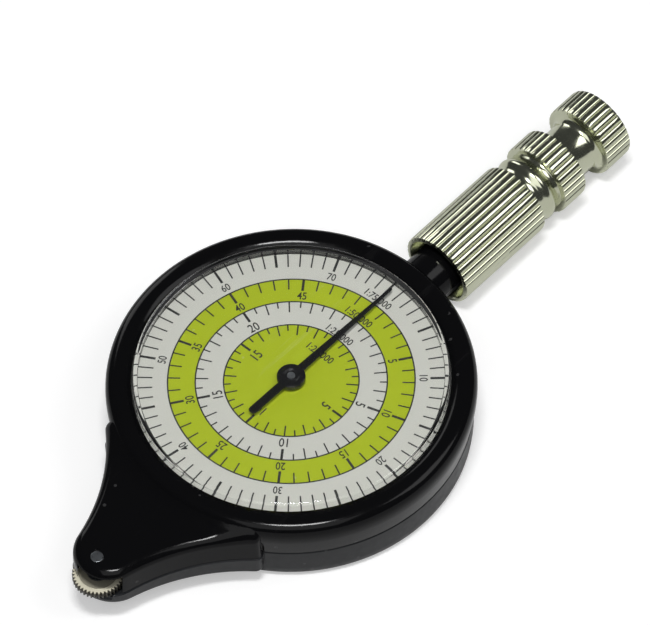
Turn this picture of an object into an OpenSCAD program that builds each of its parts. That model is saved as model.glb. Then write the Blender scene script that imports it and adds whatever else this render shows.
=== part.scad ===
// Map measurer: a round dial case with a tapered nose and a fluted handle.
// A measuring wheel in the nose turns the pointer through a gear train of 50 to 1.
// Frame: origin on the pointer axis at the rear face, +Y towards the handle, +Z out of the dial.

/* [Case] */
// Radius of the case at the seam
case_r = 22.2; // [22.1:0.05:23]
// How much wider the case is at its shoulder than at the seam
shoulder_out = 0.4; // [0.1:0.05:0.6]
// Radius of the rounded shoulder
shoulder_r = 1.4; // [1:0.1:1.6]
// Height of the bezel crown above the bezel's inner edge
crown_rise = 0.5; // [0.3:0.05:0.7]
// Width of the bezel from its inner edge to the seam radius
bezel_w = 2.45; // [2.35:0.05:2.6]
// Wall from the seam radius to the space inside
case_wall = 1.2; // [1:0.05:1.3]
// Thickness of the rear floor
floor_t = 1.2; // [0.9:0.05:1.4]
// Radius of the rounded rear edge
rear_round = 1.2; // [0.8:0.1:1.4]
// Draft of the rear shell from seam to rear edge
rear_draft = 0.35; // [0.1:0.05:0.5]
// Height of the seam above the rear face
seam_z = 5.2; // [5.1:0.05:5.3]
// Size of the fine groove along the seam
seam_groove = 0.15; // [0.1:0.01:0.25]

/* [Nose] */
// Angle from the nose's centre line to where each flank leaves the case
nose_root_deg = 34; // [32:0.5:36]
// How far the end of each flank stands out from the case
root_step = 1.2; // [0.9:0.1:1.4]
// Radius of the hollow flanks
flank_r = 26; // [24:1:34]
// Radius of the nose tip in plan
tip_r = 4.3; // [4.2:0.05:4.5]
// How far the nose tip reaches beyond the wheel axle
tip_reach = 2.3; // [2.25:0.05:2.4]
// Slope of the nose's top
nose_slope = 8; // [7:0.5:8.5]
// Slope of the nose's underside
belly_slope = 3.9; // [3:0.1:4.5]
// Wall of the nose
nose_wall = 0.9; // [0.7:0.05:1]
// Thickness of the nose's roof above the measuring wheel
nose_roof_t = 2.3; // [2:0.1:2.4]
// Thickness of the nose's floor below the measuring wheel
nose_floor_t = 0.75; // [0.65:0.05:0.9]
// Edge radius along the top of the flanks
nose_edge_r = 1.2; // [0.8:0.1:1.4]
// How much the front shell's nose stands inside the rear shell's
nose_step = 0.1; // [0.05:0.01:0.2]
// Edge radius along the underside
belly_edge_r = 0.7; // [0.4:0.1:0.8]
// Radius of the window beside the wheel
window_r = 3.4; // [3:0.1:3.8]

/* [Measuring wheel] */
// Path rolled in one turn of the wheel
wheel_path = 20; // [19.6:0.1:20.4]
// Thickness of the measuring wheel
wheel_t = 1.15; // [1:0.05:1.2]
// Number of rounded teeth
wheel_teeth = 40; // [32:2:48]
// Depth of the rounded teeth
wheel_tooth_h = 0.22; // [0.15:0.01:0.3]
// Radius of the axle shank
axle_r = 0.5; // [0.4:0.05:0.6]
// Radius of the axle head that shows in the nose
axle_head_r = 0.8; // [0.7:0.05:1]
// Height of the axle head
axle_head_t = 1; // [0.6:0.1:1.2]

/* [Gears] */
// Module of the first pair
fine_module = 0.3; // [0.29:0.005:0.305]
// Module of the three other pairs
coarse_module = 0.48; // [0.475:0.0025:0.485]
// Teeth of the pinion on the measuring wheel
wheel_pinion_z = 10; // [10]
// Teeth of gear A
gear_a_z = 24; // [24]
// Teeth of pinion A
pinion_a_z = 10; // [10]
// Teeth of gear B
gear_b_z = 25; // [25]
// Teeth of pinion B
pinion_b_z = 12; // [12]
// Teeth of gear C
gear_c_z = 25; // [25]
// Teeth of pinion C
pinion_c_z = 10; // [10]
// Teeth of the centre gear
centre_z = 40; // [40]
// Face width of the gears
gear_t = 1.1; // [0.9:0.05:1.15]
// Height between one gear level and the next
level_gap = 0.3; // [0.25:0.05:0.35]
// Height of the first gear level above the rear floor
level_rise = 2.2; // [2.1:0.05:2.3]
// Side offset of gear B from the centre line
gear_b_side = 1; // [0.8:0.1:1.2]
// Side offset of gear C from the centre line
gear_c_side = 2.2; // [2:0.1:2.4]
// Radius of the gear pins
pin_r = 0.6; // [0.5:0.05:0.65]

/* [Dial and lens] */
// Thickness of the movement plate
plate_t = 1.2; // [1:0.05:1.3]
// Thickness of the dial plate
dial_t = 0.5; // [0.3:0.05:0.6]
// Gap round the edge of the dial plate
dial_gap = 0.1; // [0.05:0.05:0.2]
// Thickness of the lens skirt
skirt_w = 0.6; // [0.5:0.05:0.8]
// Thickness of the lens
lens_t = 0.8; // [0.6:0.05:1]
// Rounded edge of the lens
lens_edge = 0.35; // [0.2:0.05:0.4]
// Space for the pointer between dial and lens
pointer_room = 1.2; // [1.15:0.05:1.4]
// Thickness of the lens flange
flange_t = 0.7; // [0.5:0.05:0.8]
// Height of the bezel's inner edge above the lens flange
bezel_t = 0.7; // [0.6:0.05:0.8]
// How far inside the dial's edge the plate screws stand
screw_in = 1.9; // [1.7:0.1:2.4]
// Radius of the screw shank
screw_r = 0.7; // [0.6:0.05:0.8]

/* [Pointer] */
// How far the pointer's tip stays inside the dial's edge
pointer_short = 1.1; // [0.6:0.1:3]
// Length of the pointer's tail
tail_len = 7.1; // [5:0.1:9]
// Width of the pointer at its hub
pointer_w = 1; // [0.8:0.05:1.2]
// Width of the pointer at its tip
pointer_tip_w = 0.4; // [0.3:0.05:0.6]
// Radius of the pointer's hub
pointer_hub_r = 1.75; // [1.3:0.05:2.2]
// Turn of the pointer at rest
pointer_turn = -0.8; // [-180:0.1:180]

/* [Handle] */
// Radius over the flutes
grip_r = 5; // [4.8:0.05:5.1]
// Depth of a flute
flute_h = 0.28; // [0.15:0.01:0.32]
// Number of flutes
flutes = 32; // [24:1:40]
// Radius of the bore in the sleeve
grip_bore_r = 4.3; // [4:0.05:4.4]
// Gap between the case and the sleeve
sleeve_gap = 3.95; // [3:0.05:5]
// Length of the fluted sleeve
sleeve_len = 14.6; // [12:0.1:18]
// Length of the groove with the bead
groove_len = 3.8; // [3.2:0.1:5]
// Radius of the bead
bead_r = 4.55; // [4.3:0.05:4.7]
// Radius of the grooves beside the bead
groove_r = 4.1; // [3.8:0.05:4.2]
// Length of the fluted ring
ring_len = 3.8; // [3:0.1:5]
// Length of the smooth neck
neck_len = 4.1; // [3:0.1:5]
// Radius of the smooth neck
neck_r = 3.5; // [3:0.05:3.9]
// Length of the fluted cap
cap_len = 4.3; // [3:0.1:6]
// Chamfer of the fluted bands
band_chamfer = 0.3; // [0.2:0.05:0.4]
// Radius of the spigot between case and sleeve
spigot_r = 3.3; // [2.8:0.05:3.6]
// Radius of the hollow fillet where the spigot leaves the case
spigot_fillet = 1.5; // [1:0.05:1.6]

/* [Fits] */
// Radial gap of a turning fit
run_gap = 0.05; // [0.03:0.005:0.08]
// Radial gap of a fixed fit
fit_gap = 0.01; // [0.005:0.005:0.02]
// End play of a turning piece
end_play = 0.05; // [0.03:0.01:0.08]
// Tooth thinning of each gear
tooth_play = 0.035; // [0.02:0.005:0.05]
// Gap beside pieces that are laid in
lay_gap = 0.15; // [0.1:0.01:0.2]

/* [Hidden] */
$fn = 96;
pressure_deg = 25;
addendum = 0.85;
dedendum = 1.05;
flank_steps = 4;
arc_steps = 8;
cut = 1;
deg = 180 / PI;

// Heights
level3_z = floor_t + level_rise;
level2_z = level3_z + gear_t + level_gap;
level1_z = level2_z + gear_t + level_gap;
plate_gap = 0.25;
plate_z = level1_z + gear_t + plate_gap;
dial_seat_z = plate_z + plate_t;
dial_z = dial_seat_z + dial_t;
lens_under_z = dial_z + pointer_room;
lens_top_z = lens_under_z + lens_t;
flange_z = dial_seat_z + flange_t;
bezel_z = flange_z + bezel_t;
crown_z = bezel_z + crown_rise;
washer_t = 0.15;
wheel_drop = 0.2;
wheel_top_z = level1_z - wheel_drop;
wheel_z = wheel_top_z - wheel_t;
gear_a_gap = 0.15;
gear_a_top_z = wheel_z - gear_a_gap;
gear_a_t = 0.95;
gear_a_zlow = gear_a_top_z - gear_a_t;
nose_floor_z = gear_a_zlow - washer_t - end_play;
nose_roof_z = wheel_top_z + 2 * end_play + washer_t;
nose_top_z = nose_roof_z + nose_roof_t;
belly_z = nose_floor_z - nose_floor_t;

// Radii
shoulder_r_out = case_r + shoulder_out;
inner_r = case_r - case_wall;
lay_r = inner_r - lay_gap;
lip_t = 0.5;
lip_h = 0.8;
lip_r = inner_r - run_gap;
rear_inner_r = lip_r - lip_t;
bezel_r = case_r - bezel_w;
lens_r = bezel_r - lay_gap;
skirt_r = lens_r - skirt_w;
dial_r = skirt_r - dial_gap;
pointer_len = dial_r - pointer_short;
screw_ring_r = dial_r - screw_in;
crown_r = shoulder_r_out - shoulder_r;
wheel_r = wheel_path / (2 * PI);

// Gear centres: gear A and the measuring wheel lie on the centre line
dist_1 = fine_module * (wheel_pinion_z + gear_a_z) / 2;
dist_2 = coarse_module * (pinion_a_z + gear_b_z) / 2;
dist_3 = coarse_module * (pinion_b_z + gear_c_z) / 2;
dist_4 = coarse_module * (pinion_c_z + centre_z) / 2;
gear_c_y = -sqrt(dist_4 * dist_4 - gear_c_side * gear_c_side);
gear_b_y = gear_c_y - sqrt(dist_3 * dist_3 - pow(gear_c_side - gear_b_side, 2));
gear_a_y = gear_b_y - sqrt(dist_2 * dist_2 - gear_b_side * gear_b_side);
wheel_y = gear_a_y - dist_1;
centre_p = [0, 0];
gear_c_p = [gear_c_side, gear_c_y];
gear_b_p = [gear_b_side, gear_b_y];
gear_a_p = [0, gear_a_y];
wheel_p = [0, wheel_y];

// Tooth phases: a tooth of one gear faces a space of the next
function heading(p, q) = atan2(q[1] - p[1], q[0] - p[0]);
function meshed(p, q, z1, z2, th) = heading(p, q) + 180 - (z1 / z2) * (th - heading(p, q)) + 180 / z2;
wheel_th = 90;
gear_a_th = meshed(wheel_p, gear_a_p, wheel_pinion_z, gear_a_z, wheel_th);
gear_b_th = meshed(gear_a_p, gear_b_p, pinion_a_z, gear_b_z, gear_a_th);
gear_c_th = meshed(gear_b_p, gear_c_p, pinion_b_z, gear_c_z, gear_b_th);
centre_th = meshed(gear_c_p, centre_p, pinion_c_z, centre_z, gear_c_th);

// Involute tooth form
function inv_deg(a) = tan(a) * deg - a;
function base_r(m, z) = m * z / 2 * cos(pressure_deg);
function tip_radius(m, z) = m * z / 2 + addendum * m;
function root_radius(m, z) = m * z / 2 - dedendum * m;
function start_radius(m, z) = max(base_r(m, z), root_radius(m, z));
function flank_radius(m, z, i) =
    start_radius(m, z) + (tip_radius(m, z) - start_radius(m, z)) * i / flank_steps;
function half_deg(m, z, r) =
    90 / z - tooth_play / (m * z) * deg + inv_deg(pressure_deg) - inv_deg(acos(min(1, base_r(m, z) / r)));
function at(r, a) = [r * cos(a), r * sin(a)];
function root_pt(m, z, c, s) =
    base_r(m, z) > root_radius(m, z) + 0.001
    ? [at(root_radius(m, z), c + s * half_deg(m, z, start_radius(m, z)))]
    : [];
function rise(m, z, c) =
    [for (i = [0 : flank_steps]) at(flank_radius(m, z, i), c - half_deg(m, z, flank_radius(m, z, i)))];
function fall(m, z, c) =
    [for (i = [flank_steps : -1 : 0]) at(flank_radius(m, z, i), c + half_deg(m, z, flank_radius(m, z, i)))];
function tooth(m, z, c) = concat(root_pt(m, z, c, -1), rise(m, z, c), fall(m, z, c), root_pt(m, z, c, 1));

module spur(m, z, th, t) {
    linear_extrude(t)
        polygon([for (k = [0 : z - 1]) for (p = tooth(m, z, th + 360 * k / z)) p]);
}

// Plan outline of the nose, drawn inwards by d from the shells' outer face
tip_c = [0, wheel_y - tip_reach + tip_r];
root_p = (case_r + root_step) * [sin(nose_root_deg), -cos(nose_root_deg)];
root_d = norm(root_p - tip_c);
root_u = (root_p - tip_c) / root_d;
reach_a = (pow(flank_r + tip_r, 2) - pow(flank_r, 2) + root_d * root_d) / (2 * root_d);
reach_h = sqrt(pow(flank_r + tip_r, 2) - reach_a * reach_a);
flank_c = tip_c + reach_a * root_u + reach_h * [root_u[1], -root_u[0]];
corner_out = 0.1;
corner_r = flank_r - corner_out;
tangent_p = flank_c + corner_r * (tip_c - flank_c) / norm(tip_c - flank_c);

// Each flank ends on a radial face, which a wall stands inside
root_r = case_r - case_wall / 2;
start_p = flank_c + corner_r * (root_p - flank_c) / norm(root_p - flank_c);
function start_in(d) = start_p - d * [cos(nose_root_deg), sin(nose_root_deg)];
function flip(p) = [-p[0], p[1]];

// Planes of the nose's top and underside
function top_z(y) = nose_top_z + (y - wheel_y) * tan(nose_slope);
function low_z(y) = belly_z - (y - wheel_y) * tan(belly_slope);

// Helpers that place a round post and fill the far side of a sloping plane
far = 60;

module post(p, z0, z1, r) {
    translate([p[0], p[1], z0])
        cylinder(r = r, h = z1 - z0);
}

module sloped(z, slope) {
    translate([0, wheel_y, z])
        rotate([slope, 0, 0])
            children();
}

module above_plane(z, slope) {
    sloped(z, slope)
        translate([-far, -far, 0])
            cube([2 * far, 2 * far, far]);
}

// Upright body of the nose, drawn inwards by d, and its flanks without the tip
tip_over = 0.07;
tip_low = 0.02;
apex_p = tip_c + [0, tip_r / 8];

module nose_flanks(d, h) {
    difference() {
        linear_extrude(h)
            polygon([
                apex_p,
                tangent_p,
                start_in(d),
                [0, -d / sin(nose_root_deg)],
                flip(start_in(d)),
                flip(tangent_p)]);
        for (c = [flank_c, flip(flank_c)])
            post(c, -cut, h + cut, flank_r + d);
    }
}

module nose_body(d, h) {
    nose_flanks(d, h);
    post(tip_c, 0, h, tip_r - d + tip_over);
}

// Half of the nose from the seam up to a sloping face with a rounded edge
edge_flare = 0.3;
edge_depth = 6;
edge_out = 0.05;
function on_slope(c, slope, e) = [c[0], (c[1] - wheel_y - e * sin(slope)) / cos(slope)];
function round_pt(i, e) = [e * (1 - cos(90 * i / arc_steps)), e * (sin(90 * i / arc_steps) - 1)];
function hollow_edge(r, e) = concat(
    [[r - edge_flare * edge_depth, -e - edge_depth]],
    [for (i = [0 : arc_steps]) [r, 0] + round_pt(i, e)],
    [[r + e, far]],
    [[r - edge_flare * edge_depth, far]]);
function dome_edge(r, e) = concat(
    [[0, -e - edge_depth]],
    [[r + edge_flare * edge_depth, -e - edge_depth]],
    [for (i = [0 : arc_steps]) [r - round_pt(i, e)[0], round_pt(i, e)[1]]],
    [[0, 0]]);

module nose_half(h, slope, e, d) {
    difference() {
        nose_flanks(d, far);
        post(centre_p, -cut, far + cut, root_r);
        above_plane(h, slope);
        for (c = [flank_c, flip(flank_c)])
            sloped(h, slope)
                translate(on_slope(c, slope, e))
                    rotate_extrude()
                        polygon(hollow_edge(flank_r + d - edge_out, e));
    }
    intersection() {
        post(tip_c, 0, far, tip_r - d + tip_over);
        sloped(h - tip_low, slope)
            translate(on_slope(tip_c, slope, e))
                rotate_extrude()
                    polygon(dome_edge(tip_r - d + tip_over + edge_out, e));
    }
}

// Spigot that carries the handle, turned about the handle axis and split at the seam
collar_len = 10;
bore_room = 0.4;
sleeve_y = case_r + sleeve_gap;
collar_in = 1;
spigot_end_y = sleeve_y + sleeve_len - collar_in;
collar_y = spigot_end_y - collar_len;
spigot_sink = 0.5;
spigot_root_y = case_r - spigot_sink;
function hollow_pt(i) =
    [spigot_r + spigot_fillet * (1 - sin(90 * i / arc_steps)),
     spigot_root_y + spigot_fillet * (1 - cos(90 * i / arc_steps))];

module spigot() {
    translate([0, 0, seam_z])
        rotate([-90, 0, 0])
            rotate_extrude()
                polygon(concat(
                    [[0, case_r / 2]],
                    [[spigot_r + spigot_fillet, case_r / 2]],
                    [for (i = [0 : arc_steps]) hollow_pt(i)],
                    [[spigot_r, collar_y]],
                    [[grip_bore_r - fit_gap, collar_y]],
                    [[grip_bore_r - fit_gap, spigot_end_y]],
                    [[0, spigot_end_y]]));
}

// Fixed places on the shells
boss_r = 1.6;
screw_boss_r = 2;
screw_hole_rise = 1.8;
screw_hole_z = floor_t + screw_hole_rise;
screw_head_r = 1.4;
screw_head_t = 0.7;
screw_slot_w = 0.4;
screw_slot_t = 0.35;
centre_boss_r = 2.4;
centre_boss_z = level3_z - end_play - washer_t;
pivot_r = 0.5;
pivot_seat = 0.2;
pivot_z = floor_t + pivot_seat;
pin_seat = 0.4;
pin_z = floor_t + pin_seat;
pin_top_z = dial_seat_z - lay_gap;
pin_a_z = low_z(gear_a_y) + pin_seat;
pin_a_top_z = top_z(gear_a_y) - nose_wall;
gear_a_boss_z = gear_a_zlow - end_play;
gear_a_roof_z = level1_z + gear_t + 2 * end_play;
gear_b_boss_z = level2_z - end_play;
gear_c_boss_z = level3_z - end_play;
gear_room = 0.35;
pinion_room_r = tip_radius(coarse_module, pinion_a_z) + gear_room;
nose_cut_y = gear_a_y - pinion_room_r;
wheel_clear = 0.22;
pinion_clear = 0.15;
window_past_axle = 0.3;
window_behind_axle = 0.05;
window_p = wheel_p + [window_r - window_past_axle, window_behind_axle - window_r];
function screw_p(k) = at(screw_ring_r, 90 + 120 * k);

// Front shell: bezel ring, top of the nose and upper half of the spigot
bezel_arc_r = (pow(crown_r - bezel_r, 2) + crown_rise * crown_rise) / (2 * crown_rise);
bezel_arc_deg = asin((crown_r - bezel_r) / bezel_arc_r);
function shoulder_pt(i) = [crown_r, crown_z - shoulder_r] + at(shoulder_r, 90 * i / arc_steps);
function bezel_pt(i) =
    [crown_r, crown_z - bezel_arc_r] + at(bezel_arc_r, 90 + bezel_arc_deg * i / arc_steps);

module front_ring() {
    rotate_extrude()
        polygon(concat(
            [[inner_r, seam_z]],
            [[case_r - seam_groove, seam_z]],
            [[case_r, seam_z + seam_groove]],
            [for (i = [0 : arc_steps]) shoulder_pt(i)],
            [for (i = [1 : arc_steps]) bezel_pt(i)],
            [[bezel_r, flange_z]],
            [[inner_r, flange_z]]));
}

module front_space() {
    difference() {
        union() {
            intersection() {
                translate([0, 0, seam_z - cut])
                    nose_flanks(nose_wall + nose_step, flange_z - seam_z + cut);
                translate([-far, nose_cut_y, 0])
                    cube([2 * far, far, far]);
            }
            post(gear_a_p, seam_z - cut, flange_z, pinion_room_r);
        }
        above_plane(nose_top_z - nose_wall, nose_slope);
    }
}

module front_shell() {
    color("dimgray")
        difference() {
            union() {
                difference() {
                    union() {
                        front_ring();
                        translate([0, 0, seam_z])
                            nose_half(nose_top_z - seam_z, nose_slope, nose_edge_r, nose_step);
                    }
                    front_space();
                }
                post(gear_a_p, gear_a_roof_z, top_z(gear_a_y) - nose_wall / 2, boss_r);
                difference() {
                    intersection() {
                        spigot();
                        translate([-far, 0, seam_z])
                            cube([2 * far, far, far]);
                    }
                    cylinder(r = inner_r, h = far);
                }
            }
            post(wheel_p, seam_z - cut, nose_roof_z, wheel_r + wheel_clear);
            post(wheel_p, seam_z - cut, far, axle_r + fit_gap);
            post(wheel_p, nose_top_z - axle_head_t, far, axle_head_r + fit_gap);
            post(gear_a_p, seam_z - cut, pin_a_top_z + end_play, pin_r + fit_gap);
            post(window_p, seam_z - cut, far, window_r);
        }
}

// Rear shell: cup with a seam lip, underside of the nose, posts and lower half of the spigot
function rear_pt(i) =
    [case_r - rear_draft - rear_round, rear_round] + at(rear_round, -90 + 90 * i / arc_steps);

module rear_cup() {
    rotate_extrude()
        polygon(concat(
            [[0, 0]],
            [for (i = [0 : arc_steps]) rear_pt(i)],
            [[case_r, seam_z - seam_groove]],
            [[case_r - seam_groove, seam_z]],
            [[lip_r, seam_z]],
            [[lip_r, seam_z + lip_h]],
            [[rear_inner_r, seam_z + lip_h]],
            [[rear_inner_r, floor_t]],
            [[0, floor_t]]));
}

module rear_space() {
    intersection() {
        nose_body(nose_wall, far);
        above_plane(nose_floor_z, -belly_slope);
    }
}

module rear_shell() {
    color("gray")
        difference() {
            union() {
                difference() {
                    union() {
                        rear_cup();
                        translate([0, 0, seam_z])
                            mirror([0, 0, 1])
                                nose_half(seam_z - belly_z, belly_slope, belly_edge_r, 0);
                    }
                    rear_space();
                }
                post(gear_a_p, low_z(gear_a_y) + nose_wall / 2, gear_a_boss_z, boss_r);
                post(gear_b_p, floor_t, gear_b_boss_z, boss_r);
                post(gear_c_p, floor_t, gear_c_boss_z, boss_r);
                post(centre_p, floor_t, centre_boss_z, centre_boss_r);
                for (k = [0 : 2])
                    post(screw_p(k), floor_t, plate_z, screw_boss_r);
                difference() {
                    intersection() {
                        spigot();
                        translate([-far, 0, seam_z - far])
                            cube([2 * far, far, far]);
                    }
                    translate([0, 0, -cut])
                        cylinder(r = rear_inner_r, h = far);
                }
            }
            post(wheel_p, wheel_z - gear_a_gap, far, wheel_r + wheel_clear);
            post(wheel_p, nose_floor_z, far, tip_radius(fine_module, wheel_pinion_z) + pinion_clear);
            post(wheel_p, -cut, far, axle_r + fit_gap);
            post(gear_a_p, pin_a_z - end_play, far, pin_r + fit_gap);
            post(gear_b_p, pin_z - end_play, far, pin_r + fit_gap);
            post(gear_c_p, pin_z - end_play, far, pin_r + fit_gap);
            post(centre_p, pivot_z, far, pivot_r + run_gap);
            for (k = [0 : 2])
                post(screw_p(k), screw_hole_z, far, screw_r + fit_gap);
        }
}

// Lens with skirt and flange
function lens_pt(i) = [lens_r - lens_edge, lens_top_z - lens_edge] + at(lens_edge, 90 * i / arc_steps);

module lens() {
    color("lightcyan", 0.4)
        rotate_extrude()
            polygon(concat(
                [[0, lens_under_z]],
                [[skirt_r, lens_under_z]],
                [[skirt_r, dial_seat_z]],
                [[lay_r, dial_seat_z]],
                [[lay_r, flange_z]],
                [[lens_r, flange_z]],
                [for (i = [0 : arc_steps]) lens_pt(i)],
                [[0, lens_top_z]]));
}

module dial_plate() {
    color("yellowgreen")
        difference() {
            post(centre_p, dial_seat_z, dial_z, dial_r);
            post(centre_p, 0, far, arbor_r + lay_gap);
        }
}

// Movement plate with a tongue that reaches over gear B
tongue_w = 8;
tongue_round = 2;
tongue_y = gear_b_y - boss_r - tongue_round;

module movement_plate() {
    color("burlywood")
        difference() {
            union() {
                post(centre_p, plate_z, dial_seat_z, lay_r);
                translate([gear_b_side - tongue_w / 2, tongue_y + tongue_round, plate_z])
                    cube([tongue_w, -tongue_y, plate_t]);
                for (s = [-1, 1])
                    post([gear_b_side + s * (tongue_w / 2 - tongue_round), tongue_y + tongue_round],
                        plate_z, dial_seat_z, tongue_round);
                translate([gear_b_side - tongue_w / 2 + tongue_round, tongue_y, plate_z])
                    cube([tongue_w - 2 * tongue_round, tongue_round, plate_t]);
            }
            post(centre_p, 0, far, arbor_r + run_gap);
            post(gear_b_p, 0, far, pin_r + fit_gap);
            post(gear_c_p, 0, far, pin_r + fit_gap);
            for (k = [0 : 2]) {
                post(screw_p(k), 0, far, screw_r + fit_gap);
                post(screw_p(k), dial_seat_z - screw_head_t, far, screw_head_r + lay_gap);
            }
        }
}

module plate_screws() {
    color("silver")
        for (k = [0 : 2])
            difference() {
                union() {
                    post(screw_p(k), screw_hole_z + lay_gap, dial_seat_z - screw_head_t, screw_r);
                    post(screw_p(k), dial_seat_z - screw_head_t, dial_seat_z, screw_head_r);
                }
                translate([screw_p(k)[0], screw_p(k)[1], dial_seat_z - screw_slot_t])
                    translate([-screw_slot_w / 2, -far / 2, 0])
                        cube([screw_slot_w, far, far]);
            }
}

// Pointer, its arbor and the centre gear
arbor_r = 0.6;
arbor_seat_r = 0.9;
arbor_collar_r = 1.3;
arbor_collar_t = 0.5;
arbor_body_r = 0.8;
pointer_seat_r = 0.5;
blade_rise = 0.95;
pointer_top_z = dial_z + blade_rise;
blade_t = 0.25;
hub_rise = 0.35;
hub_z = dial_z + hub_rise;
hub_top_z = lens_under_z - lay_gap;
arbor_proud = 0.03;
hub_flare = 1.2;
tail_round = 0.4;

module pointer() {
    color("black")
        rotate([0, 0, pointer_turn])
            difference() {
                union() {
                    post(centre_p, hub_z, hub_top_z, pointer_hub_r);
                    translate([0, 0, pointer_top_z - blade_t])
                        linear_extrude(blade_t) {
                            polygon([
                                [-pointer_w / 2, -tail_len + tail_round * 2],
                                [-tail_round, -tail_len + tail_round / 2],
                                [tail_round, -tail_len + tail_round / 2],
                                [pointer_w / 2, -tail_len + tail_round * 2],
                                [pointer_w / 2, hub_flare],
                                [pointer_tip_w / 2, pointer_len - pointer_tip_w / 2],
                                [-pointer_tip_w / 2, pointer_len - pointer_tip_w / 2],
                                [-pointer_w / 2, hub_flare]]);
                            translate([0, pointer_len - pointer_tip_w / 2])
                                circle(r = pointer_tip_w / 2);
                            translate([0, tail_round - tail_len])
                                circle(r = tail_round);
                        }
                }
                post(centre_p, 0, far, pointer_seat_r + fit_gap);
            }
}

module pointer_arbor() {
    color("silver") {
        post(centre_p, pivot_z + end_play, level3_z, pivot_r);
        post(centre_p, level3_z, level3_z + gear_t, arbor_seat_r);
        post(centre_p, level3_z + gear_t, level3_z + gear_t + arbor_collar_t, arbor_collar_r);
        post(centre_p, level3_z + gear_t + arbor_collar_t, plate_z - end_play, arbor_body_r);
        post(centre_p, plate_z - end_play, hub_z, arbor_r);
        post(centre_p, hub_z, hub_top_z + arbor_proud, pointer_seat_r);
    }
}

web_cut = 0.3;
web_in_r = 3;
web_rim = 1.4;

module centre_gear() {
    color("white")
        difference() {
            translate([0, 0, level3_z])
                spur(coarse_module, centre_z, centre_th, gear_t);
            post(centre_p, 0, far, arbor_seat_r + fit_gap);
            for (z = [level3_z - cut, level3_z + gear_t - web_cut])
                difference() {
                    post(centre_p, z, z + (z < level3_z ? cut + web_cut : cut),
                        root_radius(coarse_module, centre_z) - web_rim);
                    post(centre_p, z - cut, z + 2 * cut, web_in_r);
                }
        }
}

friction_washer_r = 1.8;

module friction_washer() {
    color("silver")
        difference() {
            post(centre_p, centre_boss_z, centre_boss_z + washer_t, friction_washer_r);
            post(centre_p, 0, far, pivot_r + run_gap);
        }
}

// Gear mouldings, each a large gear and a pinion on one fixed pin
hub_r = 1.2;

module gear_a() {
    color("ivory")
        difference() {
            translate([gear_a_p[0], gear_a_p[1], 0]) {
                translate([0, 0, gear_a_zlow])
                    spur(fine_module, gear_a_z, gear_a_th, gear_a_t);
                post(centre_p, gear_a_top_z, level1_z, hub_r);
                translate([0, 0, level1_z - end_play])
                    spur(coarse_module, pinion_a_z, gear_a_th, gear_t + 2 * end_play);
            }
            post(gear_a_p, 0, far, pin_r + run_gap);
        }
}

module gear_b() {
    color("linen")
        difference() {
            translate([gear_b_p[0], gear_b_p[1], 0]) {
                translate([0, 0, level1_z])
                    spur(coarse_module, gear_b_z, gear_b_th, gear_t);
                translate([0, 0, level2_z])
                    spur(coarse_module, pinion_b_z, gear_b_th, level1_z - level2_z);
                post(centre_p, level1_z + gear_t, plate_z - end_play, hub_r);
            }
            post(gear_b_p, 0, far, pin_r + run_gap);
        }
}

module gear_c() {
    color("beige")
        difference() {
            translate([gear_c_p[0], gear_c_p[1], 0]) {
                translate([0, 0, level2_z])
                    spur(coarse_module, gear_c_z, gear_c_th, gear_t);
                translate([0, 0, level3_z])
                    spur(coarse_module, pinion_c_z, gear_c_th, level2_z - level3_z);
                post(centre_p, level2_z + gear_t, plate_z - end_play, hub_r);
            }
            post(gear_c_p, 0, far, pin_r + run_gap);
        }
}

module nose_gear_pin() {
    color("silver")
        post(gear_a_p, pin_a_z, pin_a_top_z, pin_r);
}

module gear_pins() {
    color("silver") {
        post(gear_b_p, pin_z, pin_top_z, pin_r);
        post(gear_c_p, pin_z, pin_top_z, pin_r);
    }
}

// Measuring wheel, its pinion, its axle and washers
tooth_pts = 8;
sleeve_out_r = 1;
function wheel_pt(j) =
    at(wheel_r - wheel_tooth_h / 2 * (1 - cos(360 * j / tooth_pts)), 360 * j / (tooth_pts * wheel_teeth));

module measuring_wheel() {
    color("wheat")
        difference() {
            translate([wheel_p[0], wheel_p[1], wheel_z])
                linear_extrude(wheel_t)
                    polygon([for (j = [0 : tooth_pts * wheel_teeth - 1]) wheel_pt(j)]);
            post(wheel_p, 0, far, sleeve_out_r + fit_gap);
        }
}

module wheel_pinion() {
    color("gold")
        difference() {
            translate([wheel_p[0], wheel_p[1], 0]) {
                translate([0, 0, gear_a_zlow])
                    spur(fine_module, wheel_pinion_z, wheel_th, wheel_z - gear_a_zlow);
                post(centre_p, wheel_z, wheel_top_z, sleeve_out_r);
            }
            post(wheel_p, 0, far, axle_r + run_gap);
        }
}

module wheel_axle() {
    color("silver") {
        post(wheel_p, belly_z, nose_top_z - axle_head_t, axle_r);
        post(wheel_p, nose_top_z - axle_head_t, nose_top_z, axle_head_r);
    }
}

washer_r = 1.4;

module wheel_washers() {
    color("silver")
        for (z = [nose_floor_z, nose_roof_z - washer_t])
            difference() {
                post(wheel_p, z, z + washer_t, washer_r);
                post(wheel_p, 0, far, axle_r + run_gap);
            }
}

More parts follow.
